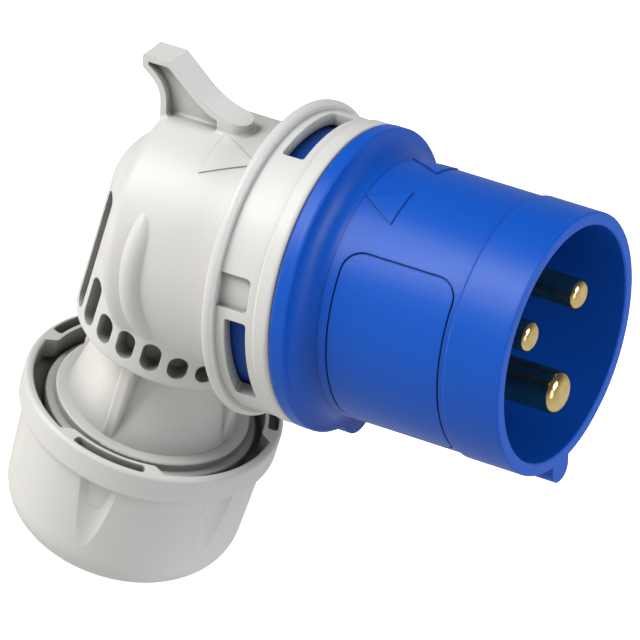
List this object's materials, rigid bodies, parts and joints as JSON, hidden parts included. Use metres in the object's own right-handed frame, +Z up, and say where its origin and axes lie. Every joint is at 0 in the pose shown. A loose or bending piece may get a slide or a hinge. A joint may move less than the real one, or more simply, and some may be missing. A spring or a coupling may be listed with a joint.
{
  "type": "angled industrial plug",
  "caption": "Angled industrial plug with a keyed blue collar around brass pins, a light grey elbow housing with a thumb tab, and a screwed cable gland.",
  "frame": {"origin": "centre of the collar's mouth, on the plug axis", "axes": "+X is the way the plug is pushed into its socket, +Z is up, on the thumb tab's side"},
  "size_m": [0.0989, 0.0518, 0.0928],
  "materials": {
    "housing_plastic": "satin moulded, warm light grey",
    "collar_plastic": "satin moulded, royal blue",
    "carrier_plastic": "satin moulded, dark blue",
    "pin_brass": "polished",
    "screw_steel": "zinc plated",
    "seal_rubber": "matt",
    "clamp_plastic": "satin moulded, mid grey"
  },
  "bodies": {
    "plug": {"collar_shroud": "collar_plastic", "pin_carrier": "carrier_plastic", "line_pin": "pin_brass", "neutral_pin": "pin_brass", "earth_pin": "pin_brass", "line_screw": "screw_steel", "neutral_screw": "screw_steel", "earth_screw": "screw_steel", "elbow_housing": "housing_plastic", "cable_seal": "seal_rubber", "clamp_cage": "clamp_plastic"},
    "slip_ring": {"slip_ring": "clamp_plastic"},
    "gland_nut": {"gland_nut": "housing_plastic"}
  },
  "joints": [
    {"name": "gland_travel", "type": "slide", "parent": "plug", "child": "slip_ring", "axis": [-0.2588, 0, -0.9659], "range_m": [0, 0.009]},
    {"name": "gland_turn", "type": "hinge", "parent": "slip_ring", "child": "gland_nut", "pos_m": [-0.07735, 0, -0.04347], "axis": [-0.2588, 0, -0.9659], "range_deg": [0, 1080]}
  ],
  "couplings": [
    {"joint": "gland_turn", "follows": "gland_travel", "rad_per_m": 2094.4}
  ]
}
